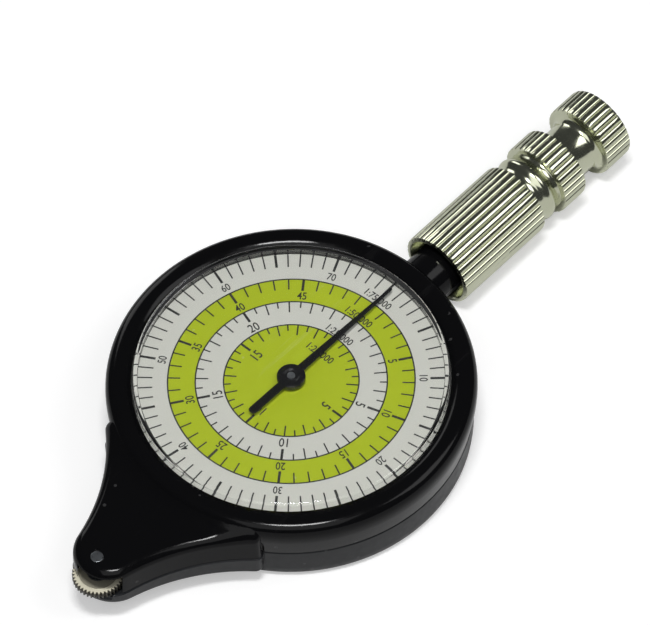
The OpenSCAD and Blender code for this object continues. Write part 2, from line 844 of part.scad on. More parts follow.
// Handle grip
sleeve_end_y = sleeve_y + sleeve_len;
ring_y = sleeve_end_y + groove_len;
ring_end_y = ring_y + ring_len;
cap_y = ring_end_y + neck_len;
cap_end_y = cap_y + cap_len;
bead_shift = 0.075;
bead_y = sleeve_end_y + groove_len / 2 + bead_shift;
bead_w = 1.9;
band_out = 0.05;
band_r = grip_r + band_out;
chamfer_r = band_r - band_chamfer;
neck_flare = 0.9;
cap_chamfer = 0.5;
flute_pts = 8;
function flute_pt(j) =
    at(grip_r - flute_h / 2 * (1 - cos(360 * j / flute_pts)), 360 * j / (flute_pts * flutes));
function bead_pt(i) =
    [groove_r + (bead_r - groove_r) * sin(180 * i / arc_steps),
     bead_y - bead_w / 2 + bead_w * i / arc_steps];
function flare_pt(i) =
    [neck_r + neck_flare * (1 - cos(90 * i / arc_steps)),
     cap_y - neck_flare * (1 - sin(90 * i / arc_steps))];

module band_profile() {
    polygon(concat(
        [[0, sleeve_y]],
        [[chamfer_r, sleeve_y]],
        [[band_r, sleeve_y + band_chamfer]],
        [[band_r, sleeve_end_y - band_chamfer]],
        [[chamfer_r, sleeve_end_y]],
        [[groove_r, sleeve_end_y]],
        [for (i = [0 : arc_steps]) bead_pt(i)],
        [[groove_r, ring_y]],
        [[chamfer_r, ring_y]],
        [[band_r, ring_y + band_chamfer]],
        [[band_r, ring_end_y - band_chamfer]],
        [[chamfer_r, ring_end_y]],
        [[neck_r, ring_end_y]],
        [for (i = [0 : arc_steps]) flare_pt(i)],
        [[chamfer_r, cap_y]],
        [[band_r, cap_y + band_chamfer]],
        [[band_r, cap_end_y - cap_chamfer]],
        [[band_r - cap_chamfer, cap_end_y]],
        [[0, cap_end_y]]));
}

module handle_grip() {
    color("lightgray")
        translate([0, 0, seam_z])
            rotate([-90, 0, 0])
                difference() {
                    intersection() {
                        rotate_extrude()
                            band_profile();
                        translate([0, 0, sleeve_y - cut])
                            linear_extrude(cap_end_y - sleeve_y + 2 * cut)
                                polygon([for (j = [0 : flute_pts * flutes - 1]) flute_pt(j)]);
                    }
                    translate([0, 0, sleeve_y - cut])
                        cylinder(r = grip_bore_r, h = spigot_end_y - sleeve_y + bore_room + cut);
                }
}

front_shell();
rear_shell();
lens();
dial_plate();
movement_plate();
plate_screws();
pointer();
pointer_arbor();
centre_gear();
friction_washer();
gear_a();
gear_b();
gear_c();
nose_gear_pin();
gear_pins();
measuring_wheel();
wheel_pinion();
wheel_axle();
wheel_washers();
handle_grip();
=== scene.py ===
# %% [markdown]
# # A map measurer: round dial case, tapered nose, measuring wheel and fluted handle
# The CAD model fixes every size and every joint. Blender adds what a camera sees: smooth gloss
# mouldings, a printed dial under a clear lens, a cream wheel and bright plating. All pieces lie
# in the CAD model's own frame, so nothing has to be fitted. Shapes are worked out in
# millimetres and become metres when their mesh is made.

import math

import bmesh
import bpy
import numpy as np
from mathutils import Matrix, Vector


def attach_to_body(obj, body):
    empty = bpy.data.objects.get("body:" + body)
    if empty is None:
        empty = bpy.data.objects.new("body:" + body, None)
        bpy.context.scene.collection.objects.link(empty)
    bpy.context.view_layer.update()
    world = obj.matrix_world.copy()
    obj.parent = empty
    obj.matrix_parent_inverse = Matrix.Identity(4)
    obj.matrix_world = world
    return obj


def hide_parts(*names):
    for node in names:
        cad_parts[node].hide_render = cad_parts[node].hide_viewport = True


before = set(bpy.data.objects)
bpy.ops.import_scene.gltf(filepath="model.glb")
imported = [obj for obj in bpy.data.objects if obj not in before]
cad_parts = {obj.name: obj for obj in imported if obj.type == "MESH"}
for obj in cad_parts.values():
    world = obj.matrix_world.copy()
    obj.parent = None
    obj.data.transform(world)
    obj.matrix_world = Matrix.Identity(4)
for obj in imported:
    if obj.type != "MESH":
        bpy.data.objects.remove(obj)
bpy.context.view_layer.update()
MM = 0.001

# %% [markdown]
# ## The sizes that the new pieces share
# The CAD source can't be read from here, so its main sizes are repeated once, in millimetres,
# and every piece below is worked out from these names. _R is a radius, _Z a height over the
# flat rear face, and _Y a place along the handle's direction. Inside the CAD model's box, four
# forms follow the photograph more closely than the CAD model does: the shoulder is rounder, the
# lens and the bezel's opening are a little smaller, the nose's top is level, and its underside
# is a little higher.

# %% Sizes in millimetres
CASE_R = 22.2
SHOULDER_OUT = 0.4
SHOULDER_R = 1.8
INNER_R = 21.0
BEZEL_R = 19.4
SEAM_Z = 5.2
SEAM_GROOVE = 0.15
FLANGE_Z = 9.45
BEZEL_Z = 10.15
CROWN_Z = 10.65
LENS_R = 19.25
LENS_TOP_Z = 11.25
LENS_UNDER_Z = 10.45
DIAL_SEAT_Z = 8.75
DIAL_Z = 9.25
DIAL_R = 18.9
WHEEL_Y = -34.035
WHEEL_Z = 4.85
WHEEL_TOP_Z = 6.0
WHEEL_R = 20 / (2 * math.pi)
NOSE_TOP_Z = 9.35
NOSE_SLOPE = 0.0
NOSE_RISE = 0.9
BELLY_Z = 3.1
BELLY_SLOPE = math.tan(math.radians(3.9))
PRINT_TURN = 1.0
ZERO_DEG = 90 + PRINT_TURN
POINTER_TURN = -0.8
print("wheel path in one turn:", round(2 * math.pi * WHEEL_R, 3), "mm")

# %% [markdown]
# ## The camera
# The photograph was taken from far away with a long lens, so its lines stay almost parallel.
# The camera's place and axes could be set by eye, but they come from matching the dial's
# printed ticks, which lie at known angles and radii, so that each piece can be compared in its
# place. The first three rows below are the camera's right, up and back directions.

# %% Camera at the photograph's viewing angle
CAMERA_RIGHT = (0.74579239, 0.66584619, -0.02103689)
CAMERA_UP = (-0.53618952, 0.61870945, 0.57419459)
CAMERA_BACK = (0.395341, -0.41695019, 0.81844855)
CAMERA_FROM_DIAL = (327.907, -339.459, 686.611)
FOCAL_PIXELS, PHOTO_WIDTH_PIXELS = 6871.85, 650
SENSOR_WIDTH = 36

camera_data = bpy.data.cameras.new("camera")
camera_data.sensor_width = SENSOR_WIDTH
camera_data.lens = SENSOR_WIDTH * FOCAL_PIXELS / PHOTO_WIDTH_PIXELS
camera_data.clip_start = 0.05
camera_data.clip_end = 20
camera = bpy.data.objects.new("camera", camera_data)
bpy.context.scene.collection.objects.link(camera)
dial_turn = Matrix.Rotation(math.radians(PRINT_TURN), 4, "Z")
camera_axes = Matrix((CAMERA_RIGHT, CAMERA_UP, CAMERA_BACK)).transposed().to_4x4()
camera_place = Matrix.Translation([v * MM for v in CAMERA_FROM_DIAL])
dial_place = Matrix.Translation((0, 0, DIAL_Z * MM))
camera.matrix_world = dial_place @ dial_turn @ camera_place @ camera_axes
bpy.context.scene.camera = camera
print("camera distance:", round(camera.matrix_world.translation.length, 3), "m")

# %% [markdown]
# ## Floor, lights and surroundings
# The floor is plain and nearly white, but the surroundings are almost dark, so the gloss black
# mouldings stay dark, with thin bright lines where a rounded edge faces a light. Four soft
# lights are enough. A small one overhead draws the shadow, a broad one behind the camera lights
# the dial and the wheel, and two weak ones pick out the handle's side and the left edge. None
# stands where the flat lens or the nose's top would mirror it into the camera.

# %% Floor and lights
FLOOR_HALF_SIZE = 6.0
SKY_COLOUR, SKY_STRENGTH = (0.93, 0.96, 1.0, 1), 0.06
LIGHTS = {
    "key_light": ((0.12, -0.12, 1.0), (0.24, 0.15), 5.5),
    "front_light": ((0.63, -0.67, 1.31), (1.2, 1.2), 5.5),
    "back_light": ((0.5, 0.46, 0.87), (0.5, 0.5), 2.0),
    "side_light": ((-0.85, 0.3, 0.42), (0.3, 0.5), 1.0),
}

square = ((-1, -1), (1, -1), (1, 1), (-1, 1))
floor_corners = [(x * FLOOR_HALF_SIZE, y * FLOOR_HALF_SIZE, 0) for x, y in square]
floor_mesh = bpy.data.meshes.new("floor")
floor_mesh.from_pydata(floor_corners, [], [(0, 1, 2, 3)])
floor = bpy.data.objects.new("floor", floor_mesh)
bpy.context.scene.collection.objects.link(floor)

world = bpy.data.worlds.new("studio")
world.use_nodes = True
sky = world.node_tree.nodes["Background"]
sky.inputs["Color"].default_value = SKY_COLOUR
sky.inputs["Strength"].default_value = SKY_STRENGTH
bpy.context.scene.world = world
bpy.context.scene.view_settings.view_transform = "Standard"


def soft_light(name, place, size, power):
    """A light of size width by height at place, turned so that its back points away from the object."""
    data = bpy.data.lights.new(name, "AREA")
    data.shape = "RECTANGLE"
    data.size, data.size_y = size
    data.energy = power
    light = bpy.data.objects.new(name, data)
    bpy.context.scene.collection.objects.link(light)
    light.location = place
    light.rotation_euler = (-Vector(place)).to_track_quat("-Z", "Y").to_euler()


for name, (place, size, power) in LIGHTS.items():
    soft_light(name, place, size, power)
print("lights:", list(LIGHTS))

# %% [markdown]
# ## Helpers that turn arrays into pieces
# A shape could be built point by point, but a grid of points worked out as a whole array is
# shorter and keeps its formula in sight. Neighbouring points make four-sided faces, and the
# rows or columns may close on themselves. Doubles at poles are merged and the normals are made
# to point outwards, so a closed surface is a real solid.

# %% Grid surfaces
DOUBLE_DISTANCE, THIN_EDGE = 2e-7, 1e-8


def grid_faces(rows, columns, close_rows, close_columns):
    """Index rows of four corners for a grid; a closed direction joins its last line to its first."""
    i = np.arange(rows if close_rows else rows - 1)[:, None]
    j = np.arange(columns if close_columns else columns - 1)[None, :]
    i2, j2 = (i + 1) % rows, (j + 1) % columns
    corners = [i * columns + j, i * columns + j2, i2 * columns + j2, i2 * columns + j]
    return np.stack(corners, -1).reshape(-1, 4)


def make_piece(name, islands, sharp_deg=35):
    """One object from islands of (points in millimetres, faces): doubles are merged, normals turned
    outwards, and all is shaded smooth but for edges over sharp_deg."""
    points, faces, start = [], [], 0
    for island_points, island_faces in islands:
        island_points = np.asarray(island_points, float).reshape(-1, 3)
        points.append(island_points)
        faces += [(np.asarray(face) + start).tolist() for face in island_faces]
        start += len(island_points)
    mesh = bpy.data.meshes.new(name)
    mesh.from_pydata((np.concatenate(points) * MM).tolist(), [], faces)
    work = bmesh.new()
    work.from_mesh(mesh)
    bmesh.ops.remove_doubles(work, verts=work.verts, dist=DOUBLE_DISTANCE)
    bmesh.ops.dissolve_degenerate(work, edges=work.edges, dist=THIN_EDGE)
    bmesh.ops.recalc_face_normals(work, faces=work.faces)
    work.to_mesh(mesh)
    work.free()
    mesh.polygons.foreach_set("use_smooth", np.ones(len(mesh.polygons), bool))
    mesh.set_sharp_from_angle(angle=math.radians(sharp_deg))
    piece = bpy.data.objects.new(name, mesh)
    bpy.context.scene.collection.objects.link(piece)
    return piece


print("doubles are merged within", DOUBLE_DISTANCE / MM, "mm")

# %% Profiles
LARGEST_CUT = 0.75
RING_STEPS, DIAL_STEPS, PIN_STEPS = 256, 192, 64


def around(angles):
    """Unit plan vectors (cos a, sin a)."""
    return np.stack([np.cos(angles), np.sin(angles)], -1)


def turn_steps(count):
    """Angles of count equal steps in one turn, without the last, which would repeat the first."""
    return np.arange(count) * 2 * np.pi / count


def revolved(profile, count, centre=(0.0, 0.0), closed=True):
    """Points r (cos a, sin a) + centre at height z, for each (r, z) of the profile and count angles a."""
    profile = np.asarray(profile, float)
    a = turn_steps(count)
    r, z = profile[:, 0][:, None], profile[:, 1][:, None]
    points = np.stack([centre[0] + r * np.cos(a), centre[1] + r * np.sin(a), z + 0 * a], -1)
    return points.reshape(-1, 3), grid_faces(len(profile), count, closed, True)


def parabola(p, c, q, t):
    """A soft corner from p to q, drawn towards c: (1-t)^2 p + 2t(1-t) c + t^2 q."""
    t = t[:, None]
    return (1 - t) ** 2 * p + 2 * t * (1 - t) * c + t**2 * q


def rounded(corners, steps=6):
    """A path of corners (r, z, cut): each is cut back by its third value on both sides, but by no more
    than most of a side, and bent as a parabola."""
    corners = np.asarray(corners, float)
    path = []
    for k, (r, z, cut) in enumerate(corners):
        corner = np.array([r, z])
        if cut == 0:
            path.append(corner[None])
            continue
        ends = []
        for neighbour in (corners[k - 1], corners[(k + 1) % len(corners)]):
            side = neighbour[:2] - corner
            length = np.linalg.norm(side)
            ends.append(corner + side / length * min(cut, length * LARGEST_CUT))
        path.append(parabola(ends[0], corner, ends[1], np.linspace(0, 1, steps + 1)))
    return np.concatenate(path)


print("a square corner of radius 1:", rounded([(0, 0, 0), (2, 0, 1), (2, 2, 0)], 2).tolist())

# %% [markdown]
# ## Effects that several finishes share
# Moulded and plated surfaces are never quite even. Each finish could carry its own copy of the
# small differences, but three node groups hold them once: a fine grain for the roughness and a
# shallow relief, sparse dust specks, and long thin handling marks. They read the piece's own
# Object coordinates, so they stay put when the piece turns, and each finish gives them its own
# scale and amount.

# %% Node helpers


def new_group(name, inputs, outputs):
    """An empty shader group with a Vector input, float inputs (name, value) and float outputs."""
    group = bpy.data.node_groups.new(name, "ShaderNodeTree")
    face = group.interface
    face.new_socket("Vector", in_out="INPUT", socket_type="NodeSocketVector")
    for label, value in inputs:
        face.new_socket(label, in_out="INPUT", socket_type="NodeSocketFloat").default_value = value
    for label in outputs:
        face.new_socket(label, in_out="OUTPUT", socket_type="NodeSocketFloat")
    return group, group.nodes.new("NodeGroupInput"), group.nodes.new("NodeGroupOutput")


def add(tree, kind, **settings):
    """A node with its settings; a setting whose name is an input socket sets that socket's value."""
    node = tree.nodes.new(kind)
    for key, value in settings.items():
        label = key.replace("_", " ").title()
        if label in node.inputs:
            node.inputs[label].default_value = value
        else:
            setattr(node, key, value)
    return node


def calculate(tree, operation, second=None):
    """A Math node, with a fixed second value if one is given."""
    node = add(tree, "ShaderNodeMath", operation=operation)
    if second is not None:
        node.inputs[1].default_value = second
    return node


def wire(tree, *links):
    """Links, each given as (node, its output, node, its input)."""
    for source, output, target, entry in links:
        tree.links.new(source.outputs[output], target.inputs[entry])


print("nodes are added and wired by", [f.__name__ for f in (new_group, add, calculate, wire)])

# %% Moulding grain
grain, grain_in, grain_out = new_group(
    "moulding_grain", [("Scale", 900), ("Low", 0.2), ("High", 0.3)], ["Roughness", "Height"]
)
noise = add(grain, "ShaderNodeTexNoise", detail=4, roughness=0.6)
spread = add(grain, "ShaderNodeMapRange", from_min=0.3, from_max=0.7)
wire(
    grain,
    (grain_in, "Vector", noise, "Vector"),
    (grain_in, "Scale", noise, "Scale"),
    (noise, "Fac", spread, "Value"),
    (grain_in, "Low", spread, "To Min"),
    (grain_in, "High", spread, "To Max"),
    (spread, "Result", grain_out, "Roughness"),
    (noise, "Fac", grain_out, "Height"),
)
print(grain.name, "nodes:", len(grain.nodes))

# %% Dust specks
PATCHES_FROM = 0.55
dust, dust_in, dust_out = new_group(
    "dust_specks", [("Scale", 500), ("Size", 0.12), ("Amount", 0.5)], ["Mask"]
)
cells = add(dust, "ShaderNodeTexVoronoi")
speck = calculate(dust, "LESS_THAN")
patches = add(dust, "ShaderNodeTexNoise", scale=160, detail=2)
sparse = calculate(dust, "GREATER_THAN", PATCHES_FROM)
both = calculate(dust, "MULTIPLY")
weighed = calculate(dust, "MULTIPLY")
wire(
    dust,
    (dust_in, "Vector", cells, "Vector"),
    (dust_in, "Vector", patches, "Vector"),
    (dust_in, "Scale", cells, "Scale"),
    (cells, "Distance", speck, 0),
    (dust_in, "Size", speck, 1),
    (patches, "Fac", sparse, 0),
    (speck, 0, both, 0),
    (sparse, 0, both, 1),
    (both, 0, weighed, 0),
    (dust_in, "Amount", weighed, 1),
    (weighed, 0, dust_out, "Mask"),
)
print(dust.name, "nodes:", len(dust.nodes))

# %% Handling marks
MARK_THINNESS, MARK_TURN = 0.06, math.radians(32)
marks, marks_in, marks_out = new_group("handling_marks", [("Scale", 300), ("Amount", 0.5)], ["Mask"])
stretch = add(marks, "ShaderNodeMapping", scale=(1.0, MARK_THINNESS, 1.0), rotation=(0, 0, MARK_TURN))
lines = add(marks, "ShaderNodeTexNoise", detail=5, roughness=0.7)
thin = add(marks, "ShaderNodeMapRange", from_min=0.62, from_max=0.72)
wire(
    marks,
    (marks_in, "Vector", stretch, "Vector"),
    (stretch, "Vector", lines, "Vector"),
    (marks_in, "Scale", lines, "Scale"),
    (lines, "Fac", thin, "Value"),
    (marks_in, "Amount", thin, "To Max"),
    (thin, "Result", marks_out, "Mask"),
)
print("groups:", [g.name for g in bpy.data.node_groups])

# %% [markdown]
# ## Finishes
# The real object has gloss and satin black mouldings, a cream wheel, steel and bright plating.
# Each could be one flat colour, but then its gloss would look dead. So each finish is one
# Principled shader whose colour, roughness and relief come from the groups. Values that are the
# same everywhere sit on the shader's own sockets.

# %% A finish from a few values
RELIEF_STRENGTH = 0.35
SCUFF_COLOUR = (0.3, 0.3, 0.3)


def finish(
    name, colour, low, high, scale=900, relief=0.02,
    metal=0.0, shine=0.5, speck=0.0, mark=0.0, mark_colour=SCUFF_COLOUR,
):
    """One colour, a roughness that wanders from low to high at the grain's scale, a relief in
    millimetres, dust specks and handling marks. Shine is the specular level."""
    material = bpy.data.materials.new(name)
    material.use_nodes = True
    tree = material.node_tree
    shader = tree.nodes["Principled BSDF"]
    shader.inputs["Metallic"].default_value = metal
    shader.inputs["Specular IOR Level"].default_value = shine
    where = add(tree, "ShaderNodeTexCoord", name="where")
    even = add(tree, "ShaderNodeGroup", node_tree=grain, scale=scale, low=low, high=high)
    bumps = add(tree, "ShaderNodeBump", strength=RELIEF_STRENGTH, distance=relief * MM)
    specks = add(tree, "ShaderNodeGroup", node_tree=dust, amount=speck)
    worn = add(tree, "ShaderNodeGroup", node_tree=marks, amount=mark)
    either = calculate(tree, "MAXIMUM")
    tint = add(tree, "ShaderNodeMix", name="tint", data_type="RGBA", a=(*colour, 1), b=(*mark_colour, 1))
    wire(
        tree,
        (where, "Object", even, "Vector"),
        (where, "Object", specks, "Vector"),
        (where, "Object", worn, "Vector"),
        (even, "Roughness", shader, "Roughness"),
        (even, "Height", bumps, "Height"),
        (bumps, "Normal", shader, "Normal"),
        (specks, "Mask", either, 0),
        (worn, "Mask", either, 1),
        (either, 0, tint, "Factor"),
        (tint, "Result", shader, "Base Color"),
    )
    return material


# %% Mouldings and metals
gloss_black = finish(
    "gloss_black_moulding", (0.0035, 0.0035, 0.004), 0.08, 0.14, shine=0.16, speck=0.1, mark=0.01
)
satin_black = finish(
    "satin_black_moulding", (0.011, 0.012, 0.014), 0.3, 0.42, shine=0.35, speck=0.1, mark=0.03
)
pointer_black = finish("pointer_black", (0.008, 0.008, 0.009), 0.12, 0.2, 1500, 0.01)
cream = finish(
    "cream_wheel_moulding", (0.78, 0.74, 0.58), 0.3, 0.45,
    speck=0.15, mark=0.1, mark_colour=(0.45, 0.38, 0.22),
)
ivory = finish("ivory_gear_moulding", (0.62, 0.6, 0.5), 0.4, 0.55, 1200)
plate_black = finish("plate_moulding", (0.02, 0.02, 0.021), 0.45, 0.6, 700)
steel = finish("bright_steel", (0.16, 0.17, 0.18), 0.25, 0.38, 2500, 0.01, metal=0.85, mark=0.2)
brass = finish("turned_brass", (0.6, 0.44, 0.18), 0.22, 0.34, 2000, 0.01, metal=1.0)
plating = finish(
    "bright_plating", (0.64, 0.66, 0.5), 0.1, 0.19, 1400, 0.012,
    metal=1.0, mark=0.12, mark_colour=(0.42, 0.42, 0.39),
)
black_ink = finish("black_ink", (0.012, 0.012, 0.012), 0.4, 0.55, 2500, 0.004)
print("finishes:", [m.name for m in bpy.data.materials])

# %% [markdown]
# ### Painted shade on the sides of the wheel's teeth
# The cream shows only on the wheel's top face and its tooth tips, and the sides between them
# lie nearly black in shade. More light could not show that, so painted shade turns the cream
# into a dark brown just below the top face, by the height on the piece itself.

# %% Painted shade below the wheel's top face
PAINTED_SHADE_TOP_Z, PAINTED_SHADE_END_Z, PAINTED_SHADE_AMOUNT = WHEEL_TOP_Z - 0.1, WHEEL_TOP_Z - 0.04, 0.93
tree = cream.node_tree
height = add(tree, "ShaderNodeSeparateXYZ")
side = add(
    tree, "ShaderNodeMapRange",
    from_min=PAINTED_SHADE_TOP_Z * MM, from_max=PAINTED_SHADE_END_Z * MM, to_min=PAINTED_SHADE_AMOUNT, to_max=0.0,
)
# painted shade: the tooth sides below the top face turn dark brown
painted_shade = add(tree, "ShaderNodeMix", data_type="RGBA", b=(0.02, 0.016, 0.01, 1))
wire(
    tree,
    (tree.nodes["where"], "Object", height, "Vector"),
    (height, "Z", side, "Value"),
    (side, "Result", painted_shade, "Factor"),
    (tree.nodes["tint"], "Result", painted_shade, "A"),
    (painted_shade, "Result", tree.nodes["Principled BSDF"], "Base Color"),
)
print("grime up to", PAINTED_SHADE_TOP_Z, "mm")

# %% [markdown]
# ### Floor, print and lens
# The floor has the faintest mottling, and seen directly by the camera it glows a little, so it
# looks white without lighting the black sides from below. The print is two colours in rings. A
# picture could carry them, but the distance from the pointer's axis tells them apart just as
# well. The lens is clear acrylic. Light that only casts a shadow, or comes back from the dial,
# passes straight through it, so the dial gets the same light as without it.

# %% Floor finish
FLOOR_GLOW = 0.4
floor_white = finish("floor_white", (0.72, 0.72, 0.72), 0.7, 0.85, 30, 0.05)
tree = floor_white.node_tree
glow = add(tree, "ShaderNodeEmission", color=(1.0, 1.0, 1.0, 1), strength=FLOOR_GLOW)
light_path = add(tree, "ShaderNodeLightPath")
unseen = add(tree, "ShaderNodeBsdfTransparent", color=(0.0, 0.0, 0.0, 1))
choice = add(tree, "ShaderNodeMixShader")
total = add(tree, "ShaderNodeAddShader")
wire(
    tree,
    (light_path, "Is Camera Ray", choice, "Fac"),
    (unseen, "BSDF", choice, 1),
    (glow, "Emission", choice, 2),
    (tree.nodes["Principled BSDF"], "BSDF", total, 0),
    (choice, "Shader", total, 1),
    (total, "Shader", tree.nodes["Material Output"], "Surface"),
)
floor.data.materials.append(floor_white)
print("floor glow:", FLOOR_GLOW)

# %% Printed dial finish
RING_LINES = (15.0, 11.64, 8.21)
PRINT_WHITE, PRINT_GREEN = (0.65, 0.65, 0.595), (0.41, 0.5, 0.006)
dial_print = finish(
    "dial_print", PRINT_WHITE, 0.38, 0.5, 1600, 0.008, speck=0.12, mark=0.1, mark_colour=(0.75, 0.75, 0.7)
)
tree = dial_print.node_tree
flat = add(tree, "ShaderNodeVectorMath", operation="MULTIPLY")
flat.inputs[1].default_value = (1, 1, 0)
radius = add(tree, "ShaderNodeVectorMath", operation="LENGTH")
within = [calculate(tree, "LESS_THAN", ring * MM) for ring in RING_LINES]
green_ring = calculate(tree, "SUBTRACT")
green_here = calculate(tree, "ADD")
ink_colour = add(tree, "ShaderNodeMix", data_type="RGBA", a=(*PRINT_WHITE, 1), b=(*PRINT_GREEN, 1))
wire(
    tree,
    (tree.nodes["where"], "Object", flat, 0),
    (flat, "Vector", radius, 0),
    *[(radius, "Value", inside, 0) for inside in within],
    (within[0], 0, green_ring, 0),
    (within[1], 0, green_ring, 1),
    (green_ring, 0, green_here, 0),
    (within[2], 0, green_here, 1),
    (green_here, 0, ink_colour, "Factor"),
    (ink_colour, "Result", tree.nodes["tint"], "A"),
)
print("print rings at", RING_LINES, "mm")

# %% Clear lens finish
ACRYLIC_INDEX = 1.49
lens_clear = bpy.data.materials.new("clear_acrylic")
lens_clear.use_nodes = True
tree = lens_clear.node_tree
shader = tree.nodes["Principled BSDF"]
shader.inputs["Base Color"].default_value = (0.97, 0.98, 0.97, 1)
shader.inputs["Transmission Weight"].default_value = 1.0
shader.inputs["Metallic"].default_value = 0.0
shader.inputs["IOR"].default_value = ACRYLIC_INDEX
where = add(tree, "ShaderNodeTexCoord")
even = add(tree, "ShaderNodeGroup", node_tree=grain, scale=400, low=0.0, high=0.03)
passing = add(tree, "ShaderNodeBsdfTransparent")
light_path = add(tree, "ShaderNodeLightPath")
straight = calculate(tree, "MAXIMUM")
choice = add(tree, "ShaderNodeMixShader")
wire(
    tree,
    (where, "Object", even, "Vector"),
    (even, "Roughness", shader, "Roughness"),
    (light_path, "Is Shadow Ray", straight, 0),
    (light_path, "Is Diffuse Ray", straight, 1),
    (straight, 0, choice, "Fac"),
    (shader, "BSDF", choice, 1),
    (passing, "BSDF", choice, 2),
    (choice, "Shader", tree.nodes["Material Output"], "Surface"),
)
print("lens index:", ACRYLIC_INDEX)

# %% [markdown]
# ## Finishes on the hidden pieces that stay as the CAD model makes them
# The gears, pins, plate, screws, washers and arbor are sealed in the case. They could be made
# again, but their CAD shapes are right, so they only get their finishes.

# %% Dressing pieces and carried-over CAD pieces


def dress(piece, material):
    """The piece's only material is this one."""
    piece.data.materials.clear()
    piece.data.materials.append(material)


def attach(piece, material, body, slot, *nodes):
    """The piece gets its material, rides on its body and stands for its CAD nodes. The slot is not used."""
    dress(piece, material)
    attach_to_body(piece, body)
    if nodes:
        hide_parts(*nodes)
    size = np.ptp([tuple(corner) for corner in piece.bound_box], axis=0) / MM
    print(f"{piece.name}: {len(piece.data.polygons)} faces, {size.round(2).tolist()} mm, rides on {body}")


CARRIED = {
    "movement_plate": plate_black,
    "plate_screws": steel,
    "pointer_arbor": steel,
    "centre_gear": ivory,
    "friction_washer": steel,
    "gear_a": ivory,
    "gear_b": ivory,
    "gear_c": ivory,
    "nose_gear_pin": steel,
    "gear_pins": steel,
    "wheel_pinion": brass,
    "wheel_washers": steel,
}
for node, material in CARRIED.items():
    dress(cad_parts[node], material)
print("carried over:", len(CARRIED), "nodes")

# %% [markdown]
# ## The nose's outline
# Seen from above, the nose is a small circle at the tip joined to the case by two hollow arcs.
# It could be cut from a block, but stacked outlines also give it its soft edges. Each arc
# touches the tip circle and ends 34 degrees from the centre line, a little proud of the case,
# where a soft corner and a short radial face lead back to the wall. The outline can be drawn
# inwards by a distance, which may differ along the tip, and a straight chord inside the case's
# wall closes it.

# %% Sizes of the nose
TIP_R, TIP_PAST_AXLE = 4.5, 2.5
TIP_C = np.array([0.0, WHEEL_Y - TIP_PAST_AXLE + TIP_R])
FLANK_R = 26.0
ROOT_TURN = math.radians(34)
ROOT_R = CASE_R + 1.2
CLOSE_R = CASE_R - 1.1
CORNER = 0.9
LIP = 0.06
SHOULDER_START, SHOULDER_RUN = 22.0, 2.8
CORNER_POINTS, FLANK_POINTS, TIP_POINTS, EDGE_RINGS = 9, 36, 18, 11
ACROSS = np.linspace(-1, 1, 25)
TIPNESS = np.concatenate([np.zeros(CORNER_POINTS + FLANK_POINTS), np.linspace(0, 1, TIP_POINTS)])


def heading(vector):
    """The angle of a plan vector."""
    return math.atan2(vector[1], vector[0])


OUTWARD = np.array([math.sin(ROOT_TURN), -math.cos(ROOT_TURN)])
SIDEWAYS = np.array([math.cos(ROOT_TURN), math.sin(ROOT_TURN)])
root = ROOT_R * OUTWARD
span = np.linalg.norm(root - TIP_C)
along = (root - TIP_C) / span
reach = ((FLANK_R + TIP_R) ** 2 - FLANK_R**2 + span**2) / (2 * span)
aside = math.sqrt((FLANK_R + TIP_R) ** 2 - reach**2)
FLANK_C = TIP_C + reach * along + aside * np.array([along[1], -along[0]])
FLANK_END = heading(TIP_C - FLANK_C) % (2 * math.pi)
TIP_START = heading(FLANK_C - TIP_C)
print("flank centre:", FLANK_C.round(2))

# %% Nose outline and halves


def nose_outline(flank_in, tip_in):
    """A closed ring of plan points, drawn inwards by flank_in on the sides and tip_in round the tip:
    a point inside the wall, a soft corner, the hollow flank of radius R + d, the tip's arc of radius
    r - d, the same mirrored, and a straight chord inside the wall."""
    centre = FLANK_C + flank_in * SIDEWAYS
    up = centre @ OUTWARD
    flank_from = up - math.sqrt(up**2 - centre @ centre + (FLANK_R + flank_in) ** 2)
    root = flank_from * OUTWARD - flank_in * SIDEWAYS
    start = heading(root - FLANK_C) % (2 * math.pi) + CORNER / FLANK_R
    flank = FLANK_C + (FLANK_R + flank_in) * around(np.linspace(start, FLANK_END, FLANK_POINTS))
    corner = parabola(root - CORNER * OUTWARD, root, flank[0], np.linspace(0, 1, CORNER_POINTS)[:-1])
    inside = math.sqrt(CLOSE_R**2 - flank_in**2) * OUTWARD - flank_in * SIDEWAYS
    tip = TIP_C + (TIP_R - tip_in[:, None]) * around(np.linspace(TIP_START, -math.pi / 2, TIP_POINTS))
    half = np.concatenate([inside[None], corner, flank, tip])
    chord = np.column_stack([inside[0] * ACROSS[1:-1], np.full(len(ACROSS) - 2, inside[1])])
    return np.concatenate([half, (half * [-1, 1])[::-1][1:], chord])


